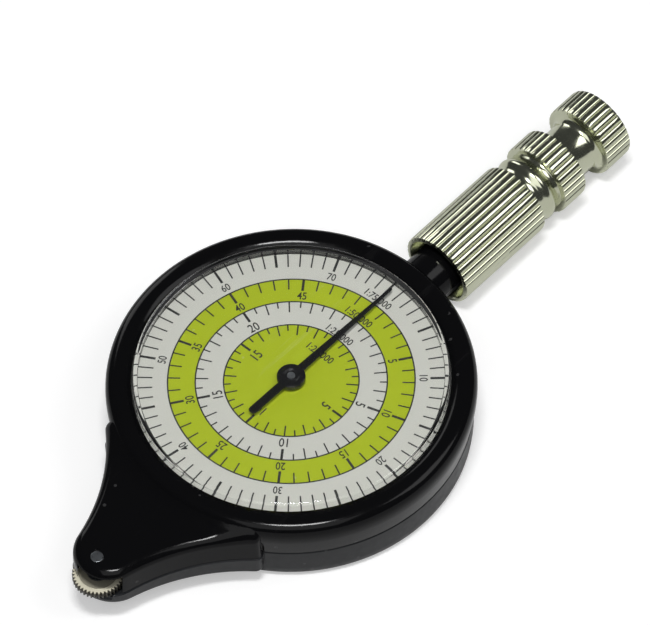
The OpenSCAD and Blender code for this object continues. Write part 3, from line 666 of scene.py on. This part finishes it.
def nose_half(face_z, slope, rise, edges, step):
    """Rings from the seam to a face. Each goes in by e(1 - cos a) and up by e sin a, with e growing
    from the sides' edge to the tip's. The face is a plane plus rise (1 - t)^2, where t grows from 0 at
    the case's shoulder to 1 where the nose runs clear of it. Rows of points straight across close it."""
    up = 1 if face_z > SEAM_Z else -1

    def raised(plan):
        """The face's height over plan points."""
        t = np.clip((np.hypot(plan[..., 0], plan[..., 1]) - SHOULDER_START) / SHOULDER_RUN, 0, 1)
        return face_z + up * (plan[..., 1] - WHEEL_Y) * slope + rise * (1 - t) ** 2

    side_edge, tip_edge = edges
    edge = side_edge + (tip_edge - side_edge) * TIPNESS
    whole = np.concatenate([edge, edge[::-1][1:], np.full(len(ACROSS) - 2, side_edge)])
    rings = []
    for inset, lift in ((step + SEAM_GROOVE, 0.0), (step, SEAM_GROOVE)):
        plan = nose_outline(inset, np.full(TIP_POINTS, inset))
        rings.append(np.column_stack([plan, np.full(len(plan), SEAM_Z + up * lift)]))
    wall = step + LIP
    for a in np.linspace(0, math.pi / 2, EDGE_RINGS):
        inwards = 1 - math.cos(a)
        plan = nose_outline(wall + side_edge * inwards, wall + edge[-TIP_POINTS:] * inwards)
        rings.append(np.column_stack([plan, raised(plan) - up * whole * (1 - math.sin(a))]))
    points = np.stack(rings)
    count = points.shape[1]
    half = rings[-1][: len(edge), :2]
    face = np.stack([half[:, :1] * ACROSS, half[:, 1:] + 0 * ACROSS], -1)
    face = np.concatenate([face, raised(face)[..., None]], -1)
    faces = grid_faces(len(points), count, False, True).tolist() + [list(range(count))]
    faces += (grid_faces(len(half), len(ACROSS), False, False) + len(points) * count).tolist()
    return np.concatenate([points.reshape(-1, 3), face.reshape(-1, 3)]), faces


print("outline points:", len(nose_outline(0, np.zeros(TIP_POINTS))))

# %% [markdown]
# ## Rooms in the nose
# The wheel needs a close room round its rim, and its axle needs holes. A wider room beside it
# reaches up to just under the nose's top and breaks through the wall, which opens the slot where
# the wheel's face shows. Such rooms could be part of the outlines, but turned cutters leave
# cleaner edges. They are used once and removed.

# %% Carving and joining helpers
CUTTER_SIDES = 128


def post(low, high, r):
    """The profile of a plain round cutter."""
    return [(0, low), (r, low), (r, high), (0, high)]


def carve(piece, cutters):
    """The piece minus upright turned cutters (x, y, profile), each profile a path of (r, z)."""
    tools = []
    for k, (x, y, profile) in enumerate(cutters):
        tool = make_piece(f"cutter_{k}", [revolved(profile, CUTTER_SIDES, (x, y), closed=False)])
        cut = piece.modifiers.new(f"cut_{k}", "BOOLEAN")
        cut.operation, cut.solver, cut.object = "DIFFERENCE", "EXACT", tool
        tools.append(tool)
    even = piece.modifiers.new("even_shading", "WEIGHTED_NORMAL")
    even.keep_sharp = True
    shown = piece.evaluated_get(bpy.context.evaluated_depsgraph_get())
    carved = bpy.data.meshes.new_from_object(shown)
    piece.modifiers.clear()
    piece.data = carved
    for tool in tools:
        bpy.data.objects.remove(tool)


def joined(name, pieces):
    """One object from several whose places are already in their meshes."""
    bpy.ops.object.select_all(action="DESELECT")
    for piece in pieces:
        piece.select_set(True)
    bpy.context.view_layer.objects.active = pieces[0]
    bpy.ops.object.join()
    pieces[0].name = name
    return pieces[0]


print("cutters have", CUTTER_SIDES, "sides")

# %% [markdown]
# ## Spigot between case and handle
# A short black neck shows between the case and the handle, and runs on inside the handle. Each
# shell carries half of it. A profile is swept half a turn about the handle's axis, which lies
# in the seam, and a flat face closes it there.

# %% Half spigot
SPIGOT_R, SPIGOT_FLARE = 3.3, 1.5
SPIGOT_ROOT_Y, FLARE_Y = CASE_R - 1.0, CASE_R - 0.5
SLEEVE_Y, COLLAR_Y, SPIGOT_END_Y = 26.15, 29.75, 39.75
COLLAR_R = 4.26
SEAM_GAP = 0.01
FLARE_POINTS, HALF_TURN_POINTS = 12, 49


def half_spigot(up):
    """Points (r cos a, y, seam + r sin a) for a over half a turn, where r falls along a hollow quarter
    circle from the case to the neck."""
    t = np.linspace(0, math.pi / 2, FLARE_POINTS)
    narrowing, onwards = SPIGOT_FLARE * (1 - np.sin(t)), SPIGOT_FLARE * (1 - np.cos(t))
    flare = np.column_stack([SPIGOT_R + narrowing, FLARE_Y + onwards])
    path = np.concatenate([
        [[0, SPIGOT_ROOT_Y], [SPIGOT_R + SPIGOT_FLARE, SPIGOT_ROOT_Y]],
        flare,
        [[SPIGOT_R, COLLAR_Y], [COLLAR_R, COLLAR_Y], [COLLAR_R, SPIGOT_END_Y], [0, SPIGOT_END_Y]],
    ])
    a = np.linspace(SEAM_GAP, math.pi - SEAM_GAP, HALF_TURN_POINTS) * up
    points = np.stack([path[:, :1] * np.cos(a), path[:, 1:] + 0 * a, SEAM_Z + path[:, :1] * np.sin(a)], -1)
    rows, columns = points.shape[:2]
    rim = [k * columns for k in range(rows)] + [k * columns + columns - 1 for k in reversed(range(rows))]
    return points.reshape(-1, 3), grid_faces(rows, columns, False, False).tolist() + [rim]


print("spigot from", CASE_R, "to", SPIGOT_END_Y, "mm")

# %% [markdown]
# ## Front shell
# One gloss black moulding: the bezel ring round the lens, the upper half of the nose and the
# upper half of the spigot. The ring is a profile turned about the pointer's axis. The three
# could be welded by a boolean, but closed bodies whose ends are buried in the case's wall look
# the same and keep their clean shading.

# %% Front shell
SIDE_BEND_Z, CROWN_W, CROWN_ROUNDING = 8.2, 0.9, 0.5
ring_profile = rounded([
    (INNER_R, SEAM_Z, 0),
    (CASE_R - SEAM_GROOVE, SEAM_Z, 0),
    (CASE_R, SEAM_Z + SEAM_GROOVE, 0.05),
    (CASE_R + SHOULDER_OUT, SIDE_BEND_Z, CROWN_ROUNDING),
    (CASE_R + SHOULDER_OUT, CROWN_Z, SHOULDER_R),
    (BEZEL_R + CROWN_W, CROWN_Z, CROWN_ROUNDING),
    (BEZEL_R, BEZEL_Z, 0.08),
    (BEZEL_R, FLANGE_Z, 0),
    (INNER_R, FLANGE_Z, 0),
], steps=8)
FRONT_EDGES, FRONT_STEP = (1.2, 1.6), 0.1
WHEEL_ROOM_R, WHEEL_ROOM_TOP_Z = WHEEL_R + 0.22, 6.25
HEAD_HOLE_R, AXLE_HOLE_R = 0.81, 0.51
SLOT_X, SLOT_Y, SLOT_R, SLOT_TOP_Z = 0.75, WHEEL_Y + 0.34, 3.2, 8.45
CUT_PAST = 1
OVER_ALL_Z = 12

front_ring = make_piece("front_ring", [revolved(ring_profile, RING_STEPS)])
front_nose = make_piece("front_nose", [nose_half(NOSE_TOP_Z, NOSE_SLOPE, NOSE_RISE, FRONT_EDGES, FRONT_STEP)])
carve(front_nose, [
    (0, 0, post(SEAM_Z - CUT_PAST, OVER_ALL_Z, INNER_R)),
    (0, WHEEL_Y, post(SEAM_Z - CUT_PAST, WHEEL_ROOM_TOP_Z, WHEEL_ROOM_R)),
    (0, WHEEL_Y, post(SEAM_Z - CUT_PAST, OVER_ALL_Z, HEAD_HOLE_R)),
    (SLOT_X, SLOT_Y, post(SEAM_Z - CUT_PAST, SLOT_TOP_Z, SLOT_R)),
])
front_spigot = make_piece("front_spigot", [half_spigot(1)])
front = joined("front_shell_moulding", [front_ring, front_nose, front_spigot])
attach(front, gloss_black, "case", "black_shell", "front_shell")

# %% [markdown]
# ## Rear shell
# The cup, the underside of the nose and the lower half of the spigot, in a duller black, made
# the same way as the front shell. The underside falls a little towards the case and has a
# tighter edge. Its rim is a little wider than the front shell's nose, so a thin ledge shows
# along the seam.

# %% Rear shell
REAR_EDGES, REAR_STEP = (0.7, 1.4), 0.0
CUP_FLOOR_Z, WHEEL_ROOM_FLOOR_Z = 1.2, WHEEL_Z - 0.15
FOOT_R, FOOT_ROUNDING = CASE_R - 0.35, 1.2
SIDE_R, SIDE_Z = CASE_R - 0.1, 1.6
cup_profile = rounded([
    (0, 0, 0),
    (FOOT_R, 0, FOOT_ROUNDING),
    (SIDE_R, SIDE_Z, 0.3),
    (CASE_R, SEAM_Z - SEAM_GROOVE, 0.05),
    (CASE_R - SEAM_GROOVE, SEAM_Z, 0),
    (INNER_R, SEAM_Z, 0),
    (INNER_R, CUP_FLOOR_Z, 0),
    (0, CUP_FLOOR_Z, 0),
], steps=8)
rear_cup = make_piece("rear_cup", [revolved(cup_profile, RING_STEPS, closed=False)])
rear_nose = make_piece("rear_nose", [nose_half(BELLY_Z, BELLY_SLOPE, 0.0, REAR_EDGES, REAR_STEP)])
carve(rear_nose, [
    (0, 0, post(-CUT_PAST, SEAM_Z + CUT_PAST, INNER_R)),
    (0, WHEEL_Y, post(WHEEL_ROOM_FLOOR_Z, SEAM_Z + CUT_PAST, WHEEL_ROOM_R)),
    (0, WHEEL_Y, post(-CUT_PAST, SEAM_Z + CUT_PAST, AXLE_HOLE_R)),
])
rear_spigot = make_piece("rear_spigot", [half_spigot(-1)])
rear = joined("rear_shell_moulding", [rear_cup, rear_nose, rear_spigot])
attach(rear, satin_black, "case", "black_shell", "rear_shell")

# %% [markdown]
# ## Lens
# Clear acrylic with a flat top, a small rounded edge, a skirt that stands on the movement plate
# and a flange that the bezel holds down. A disc over the dial would do from above, but its edge
# shows, so it is one closed profile turned about the axis.

# %% Lens
SKIRT_R, LENS_FLANGE_R = LENS_R - 0.6, INNER_R - 0.15
LENS_ROUNDING, UNDER_ROUNDING = 0.55, 0.1
lens_profile = rounded([
    (0, LENS_TOP_Z, 0),
    (LENS_R, LENS_TOP_Z, LENS_ROUNDING),
    (LENS_R, FLANGE_Z, 0),
    (LENS_FLANGE_R, FLANGE_Z, 0),
    (LENS_FLANGE_R, DIAL_SEAT_Z, 0),
    (SKIRT_R, DIAL_SEAT_Z, 0),
    (SKIRT_R, LENS_UNDER_Z, UNDER_ROUNDING),
    (0, LENS_UNDER_Z, 0),
], steps=6)
lens = make_piece("clear_lens", [revolved(lens_profile, RING_STEPS, closed=False)])
attach(lens, lens_clear, "case", "clear_lens", "lens")

# %% [markdown]
# ## Dial and print
# The dial is a thin disc. Its print could be a picture laid on it, but then it would blur in
# close views. Ring lines, ticks and numerals therefore lie on it as ink about one hundredth of
# a millimetre high. Ring lines are turned profiles, and the ticks are arrays of small boxes.

# %% Dial disc and ring lines
INK_TOP_Z, INK_FOOT_Z = DIAL_Z + 0.012, DIAL_Z - 0.02
DIAL_HOLE_R = 0.75
RING_LINE_W = 0.18
dial_profile = [(DIAL_HOLE_R, DIAL_SEAT_Z), (DIAL_R, DIAL_SEAT_Z), (DIAL_R, DIAL_Z), (DIAL_HOLE_R, DIAL_Z)]
dial = make_piece("dial_disc", [revolved(dial_profile, DIAL_STEPS)])
attach(dial, dial_print, "case", "dial", "dial_plate")

rings = []
for ring in RING_LINES:
    low, high = ring - RING_LINE_W / 2, ring + RING_LINE_W / 2
    line = [(low, INK_FOOT_Z), (high, INK_FOOT_Z), (high, INK_TOP_Z), (low, INK_TOP_Z)]
    rings.append(revolved(line, RING_STEPS))
attach(make_piece("ring_lines", rings), black_ink, "case", "dial")

# %% Ticks
TICK_W, MAJOR_W, INNER_MAJOR_W = 0.18, 0.32, 0.3
BOX_FACES = np.array([[0, 1, 2, 3], [4, 7, 6, 5], [0, 4, 5, 1], [1, 5, 6, 2], [2, 6, 7, 3], [3, 7, 4, 0]])


def ticks(count, outer, inner, width):
    """Boxes from radius inner to outer at count equal steps clockwise from the print's zero; inner
    and width may differ from tick to tick. A corner is r along the heading and s across it."""
    inner = np.broadcast_to(inner, count)[:, None, None]
    width = np.broadcast_to(width, count)[:, None, None]
    turn = np.radians(ZERO_DEG - np.arange(count) * 360 / count)[:, None, None]
    far_end = np.array([0, 1, 1, 0] * 2)[None, :, None]
    side = np.array([-0.5, -0.5, 0.5, 0.5] * 2)[None, :, None]
    height = np.array([INK_FOOT_Z] * 4 + [INK_TOP_Z] * 4)[None, :, None]
    r = inner + (outer - inner) * far_end
    s = side * width
    x, y = r * np.cos(turn) - s * np.sin(turn), r * np.sin(turn) + s * np.cos(turn)
    faces = (np.arange(count)[:, None, None] * 8 + BOX_FACES).reshape(-1, 4)
    return np.concatenate([x, y, height + 0 * turn], -1).reshape(-1, 3), faces


def every(count, step, normal, major):
    """An array of count values: normal, but major on each step-th."""
    return np.where(np.arange(count) % step == 0, major, normal)


tick_sets = [
    ticks(75, 18.85, 16.85, every(75, 5, TICK_W, MAJOR_W)),
    ticks(50, RING_LINES[0], every(50, 5, 13.47, 13.3), every(50, 5, TICK_W, MAJOR_W)),
    ticks(50, RING_LINES[1], every(50, 2, 10.75, 10.06), every(50, 10, TICK_W, MAJOR_W)),
    ticks(40, RING_LINES[2], every(40, 2, 7.33, 6.68), every(40, 10, TICK_W, INNER_MAJOR_W)),
]
attach(make_piece("scale_ticks", tick_sets), black_ink, "case", "dial")
print("ticks:", sum(len(faces) // len(BOX_FACES) for _, faces in tick_sets))

# %% [markdown]
# ### Numbers and scale captions
# Plain condensed numbers stand with their tops outwards, and a caption in the zero direction
# names each scale. Digits could be drawn stroke by stroke, but Blender's own text has good
# forms. Each is text made into a mesh, squeezed in width and then placed.

# %% Lettering
LETTER_WEIGHT = 0.012
CAPTION_H, CAPTION_SQUEEZE = 1.0, 0.86


def lettering(text, height, squeeze, place, turn_deg):
    """Points and faces of a line of text: centred on its own box, scaled to height, then turned and
    put at place."""
    curve = bpy.data.curves.new("lettering", "FONT")
    curve.body = text
    curve.align_x, curve.align_y = "CENTER", "CENTER"
    curve.extrude = 0.5
    curve.offset = LETTER_WEIGHT
    curve.resolution_u = 4
    holder = bpy.data.objects.new("lettering", curve)
    bpy.context.scene.collection.objects.link(holder)
    mesh = bpy.data.meshes.new_from_object(holder.evaluated_get(bpy.context.evaluated_depsgraph_get()))
    points = np.empty(len(mesh.vertices) * 3)
    mesh.vertices.foreach_get("co", points)
    points = points.reshape(-1, 3)
    faces = [list(face.vertices) for face in mesh.polygons]
    bpy.data.objects.remove(holder)
    bpy.data.curves.remove(curve)
    bpy.data.meshes.remove(mesh)
    low, high = points.min(0), points.max(0)
    flat = (points[:, :2] - (low + high)[:2] / 2) * height / (high[1] - low[1]) * [squeeze, 1]
    a = math.radians(turn_deg)
    turned = flat @ np.array([[math.cos(a), math.sin(a)], [-math.sin(a), math.cos(a)]])
    z = np.where(points[:, 2] > 0, INK_TOP_Z, INK_FOOT_Z)
    return np.column_stack([turned + place, z]), faces


def scale_numbers(values, full, low, high, squeeze=0.8):
    """Numerals between two radii, each turned with its direction, clockwise from the print's zero."""
    made = []
    for value in values:
        bearing = ZERO_DEG - 360 * value / full
        place = (low + high) / 2 * around(math.radians(bearing))
        made.append(lettering(str(value), high - low, squeeze, place, bearing - 90))
    return made


numbers = (
    scale_numbers(range(10, 75, 10), 75, 15.5, 16.55)
    + scale_numbers(range(5, 50, 5), 50, 12.0, 13.1)
    + scale_numbers(range(5, 25, 5), 25, 8.5, 9.75)
    + scale_numbers(range(5, 20, 5), 20, 5.0, 6.3)
)
captions = [
    lettering(text, CAPTION_H, CAPTION_SQUEEZE, r * around(math.radians(ZERO_DEG)), PRINT_TURN)
    for text, r in (("1:75 000", 15.88), ("1:50 000", 12.36), ("1:25 000", 8.84), ("1:20 000", 5.28))
]
attach(make_piece("dial_numbers", numbers + captions), black_ink, "case", "dial")

# %% [markdown]
# ## Pointer
# A flat blade in gloss black with a round hub. It tapers to a fine tip and has a short blunt
# tail. It could be cut from a plate, but three copies of one outline, the top one a little
# smaller, make the blade and its bevel at once. The hub is a turned profile with a shallow
# dimple.

# %% Pointer
BLADE_LOW, BLADE_HIGH, BLADE_BEVEL = DIAL_Z + 0.7, DIAL_Z + 0.95, 0.06
HUB_LOW, HUB_HIGH, DIMPLE_Z = DIAL_Z + 0.35, DIAL_Z + 1.05, DIAL_Z + 0.98
HUB_R, DIMPLE_R = 1.75, 0.85
right = np.array([
    (0.3, -7.05), (0.45, -6.95), (0.53, -6.6), (0.53, 1.2), (0.2, 17.3), (0.17, 17.6), (0.08, 17.78)
])
outline = np.concatenate([right, (right * [-1, 1])[::-1]])
top_outline = outline - BLADE_BEVEL * np.sign(outline) * [1, 0.6]
levels = [(outline, BLADE_LOW), (outline, BLADE_HIGH - BLADE_BEVEL), (top_outline, BLADE_HIGH)]
count = len(outline)
blade_points = np.concatenate([np.column_stack([plan, np.full(count, z)]) for plan, z in levels])
blade_ends = [list(range(count)), list(range(2 * count, 3 * count))]
blade_faces = grid_faces(3, count, False, True).tolist() + blade_ends
hub_profile = rounded([
    (0, HUB_LOW, 0),
    (HUB_R, HUB_LOW, 0.05),
    (HUB_R, HUB_HIGH, 0.12),
    (DIMPLE_R + 0.1, HUB_HIGH, 0.1),
    (DIMPLE_R, DIMPLE_Z, 0.05),
    (0, DIMPLE_Z, 0),
], steps=4)
a = math.radians(POINTER_TURN)
spin = np.array([[math.cos(a), math.sin(a), 0], [-math.sin(a), math.cos(a), 0], [0, 0, 1]])
hub = revolved(hub_profile, PIN_STEPS, closed=False)
pointer = make_piece("pointer_blade", [(blade_points @ spin, blade_faces), hub])
attach(pointer, pointer_black, "pointer", "black_pointer", "pointer")

# %% [markdown]
# ## Measuring wheel and axle
# The wheel's rim has forty rounded teeth. They could be forty copies of one tooth, but here the
# radius swings by a cosine, which gives round tips and valleys in one surface, and the face
# inside the rim is plain. The axle is a turned steel pin whose wider head ends level with the
# nose's top.

# %% Measuring wheel
TEETH, TOOTH_H, POINTS_PER_TOOTH = 40, 0.3, 12
BORE_R, CHAMFER, CHAMFER_H = 1.01, 0.12, 0.1
RIM_W, RECESS_FROM_RIM, RECESS = 0.75, 0.85, 0.08
wheel_rings = np.array([
    (BORE_R, 0.0, WHEEL_Z),
    (WHEEL_R - CHAMFER, 1.0, WHEEL_Z),
    (WHEEL_R, 1.0, WHEEL_Z + CHAMFER_H),
    (WHEEL_R, 1.0, WHEEL_TOP_Z - CHAMFER_H),
    (WHEEL_R - CHAMFER, 1.0, WHEEL_TOP_Z),
    (WHEEL_R - RIM_W, 0.0, WHEEL_TOP_Z),
    (WHEEL_R - RECESS_FROM_RIM, 0.0, WHEEL_TOP_Z - RECESS),
    (BORE_R, 0.0, WHEEL_TOP_Z - RECESS),
])
radius_mm, swing, height_mm = wheel_rings[:, :1], wheel_rings[:, 1:2], wheel_rings[:, 2:]
spots = TEETH * POINTS_PER_TOOTH
a = turn_steps(spots)
r = radius_mm - swing * TOOTH_H / 2 * (1 - np.cos(TEETH * a))
wheel_points = np.stack([r * np.cos(a), WHEEL_Y + r * np.sin(a), height_mm + 0 * a], -1)
wheel_faces = grid_faces(len(wheel_rings), spots, True, True)
wheel = make_piece("toothed_wheel", [(wheel_points.reshape(-1, 3), wheel_faces)])
attach(wheel, cream, "wheel", "wheel_moulding", "measuring_wheel")

# %% Wheel axle
AXLE_R, AXLE_HEAD_R, AXLE_HEAD_Z = 0.5, 0.8, NOSE_TOP_Z - 1.0
axle_profile = rounded([
    (0, BELLY_Z, 0),
    (AXLE_R, BELLY_Z, 0.05),
    (AXLE_R, AXLE_HEAD_Z, 0),
    (AXLE_HEAD_R, AXLE_HEAD_Z, 0),
    (AXLE_HEAD_R, NOSE_TOP_Z, 0.1),
    (0, NOSE_TOP_Z, 0),
], steps=4)
axle_surface = revolved(axle_profile, PIN_STEPS, (0, WHEEL_Y), closed=False)
axle = make_piece("wheel_axle_pin", [axle_surface], sharp_deg=30)
attach(axle, steel, "case", "steel", "wheel_axle")

# %% [markdown]
# ## Handle
# One plated piece: a fluted sleeve, a bead between two grooves, a fluted ring, a smooth neck
# and a fluted cap. Reeds could be copied round a core, but one surface has no joints. Its radius
# is the smaller of two: the turned profile, and the reeds, each of which falls from its crest
# like an ellipse to a sharp valley. On a short stretch of one side of the sleeve, the valleys
# nearly fade, as on the real handle.

# %% Sizes of the handle
GRIP_R, REEDS, REED_H, POINTS_PER_REED = 5.0, 32, 0.26, 14
SLEEVE_END_Y, RING_Y, RING_END_Y, CAP_Y, CAP_END_Y = 40.75, 44.55, 48.35, 52.45, 56.75
BEAD_Y, BEAD_W, BEAD_R, GROOVE_R = 42.725, 1.9, 4.55, 4.1
NECK_R, NECK_FLARE = 3.5, 0.9
MOUTH_R, BORE_END_Y = 4.3, 40.15
SMOOTH_AT, SMOOTH_HALF_WIDTH = math.radians(88), math.radians(9)
SMOOTH_END_Y, SMOOTHNESS = 33.5, 0.85
VALLEY_POWER, VALLEY_SHARPNESS = 2.2, 0.97
MOUTH_CHAMFER, CREST_SPARE = 0.15, 0.05
print("reed pitch:", round(2 * math.pi * GRIP_R / REEDS, 3), "mm")

# %% Handle profile
t = np.linspace(0, 1, 13)
bead = np.column_stack([GROOVE_R + (BEAD_R - GROOVE_R) * np.sin(np.pi * t), BEAD_Y + BEAD_W * (t - 0.5)])
u = np.linspace(0, np.pi / 2, 10)
flare = np.column_stack([NECK_R + NECK_FLARE * (1 - np.cos(u)), CAP_Y - NECK_FLARE * (1 - np.sin(u))])


def band(start, end, cut):
    """A fluted band's outline: out over a chamfer in two steps, along, and in over the same chamfer."""
    edge = GRIP_R + CREST_SPARE
    steps = np.linspace(start + cut, end - cut, 8)
    out = [(edge - cut, start), (edge - cut * 0.3, start + cut * 0.3)]
    back = [(edge - cut * 0.3, end - cut * 0.3), (edge - cut, end)]
    return out + [(edge, y) for y in steps] + back


grip_path = np.array(
    [(MOUTH_R, BORE_END_Y), (MOUTH_R, SLEEVE_Y + MOUTH_CHAMFER), (4.42, SLEEVE_Y)]
    + band(SLEEVE_Y, SLEEVE_END_Y, 0.35)
    + [(GROOVE_R + 0.05, SLEEVE_END_Y), (GROOVE_R, SLEEVE_END_Y + 0.1)]
    + bead.tolist()
    + [(GROOVE_R, RING_Y - 0.1), (GROOVE_R + 0.05, RING_Y)]
    + band(RING_Y, RING_END_Y, 0.3)
    + [(NECK_R + 0.1, RING_END_Y), (NECK_R, RING_END_Y + 0.15)]
    + flare.tolist()
    + band(CAP_Y, CAP_END_Y, 0.4)
    + [(2.0, CAP_END_Y), (0.0, CAP_END_Y)]
)
path_r, path_y = grip_path[:, :1], grip_path[:, 1:]
print("profile points:", len(grip_path))

# %% Handle grip
spots = REEDS * POINTS_PER_REED
a = turn_steps(spots)
phase = np.abs(((a * REEDS / (2 * np.pi)) % 1) - 0.5) * 2
from_smooth = (a - SMOOTH_AT + np.pi) % (2 * np.pi) - np.pi
strip = np.exp(-((from_smooth / SMOOTH_HALF_WIDTH) ** 4))
on_sleeve = (path_y > SLEEVE_Y - 0.1) & (path_y < SMOOTH_END_Y)
valley = REED_H * (1 - np.sqrt(np.clip(1 - phase**VALLEY_POWER * VALLEY_SHARPNESS, 0, 1)))
reeds = GRIP_R - valley * (1 - SMOOTHNESS * strip * on_sleeve)
r = np.where(path_r <= MOUTH_R, path_r, np.minimum(path_r, reeds))
grip_points = np.stack([r * np.sin(a), path_y + 0 * a, SEAM_Z + r * np.cos(a)], -1).reshape(-1, 3)
bore_end = len(grip_points)
mouth_ring = np.arange(spots)
bore_cap = np.column_stack([mouth_ring, (mouth_ring + 1) % spots, np.full(spots, bore_end)])
grip_faces = grid_faces(len(grip_path), spots, False, True).tolist() + bore_cap.tolist()
all_points = np.concatenate([grip_points, [[0, BORE_END_Y, SEAM_Z]]])
grip = make_piece("fluted_handle", [(all_points, grip_faces)], sharp_deg=40)
attach(grip, plating, "case", "plated_grip", "handle_grip")
